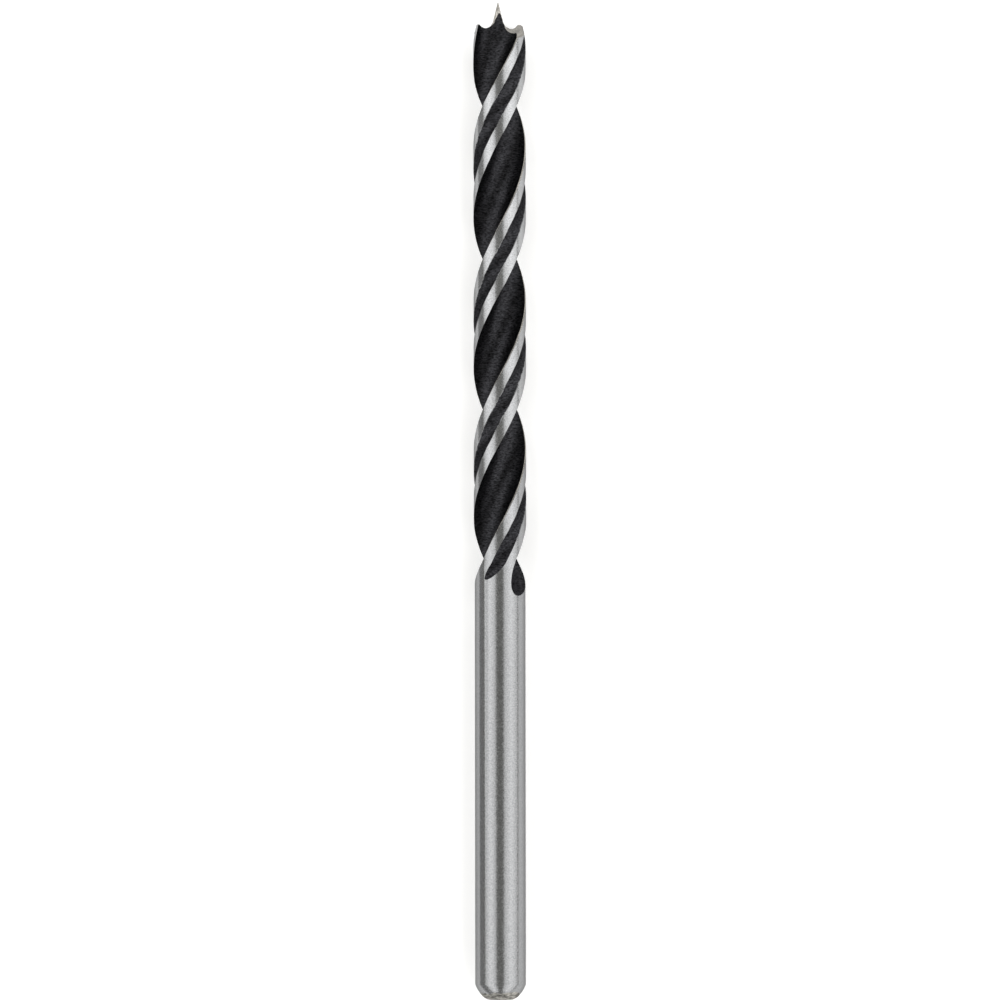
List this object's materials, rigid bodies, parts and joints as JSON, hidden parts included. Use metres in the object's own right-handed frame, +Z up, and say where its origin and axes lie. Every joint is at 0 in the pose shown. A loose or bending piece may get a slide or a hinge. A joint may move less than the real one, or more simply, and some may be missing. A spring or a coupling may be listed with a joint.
{
  "type": "wood drill bit",
  "caption": "Brad point drill bit for wood, with right-hand flutes, a centre point, outer spurs, ground margins with recesses between them, and a plain round shank",
  "frame": {"origin": "centre of the shank's flat end face, on the bit's axis", "axes": "+X along the bit's axis from the shank to the point; +Z up as the bit lies on a flat surface; +Y completes the right-handed frame"},
  "size_m": [0.076, 0.004, 0.004],
  "materials": {
    "steel": "ground bright on the shank, the margins and the tip; black oxide in the flutes and the recesses"
  },
  "bodies": {
    "root": {"drill_bit": "steel"}
  },
  "joints": []
}
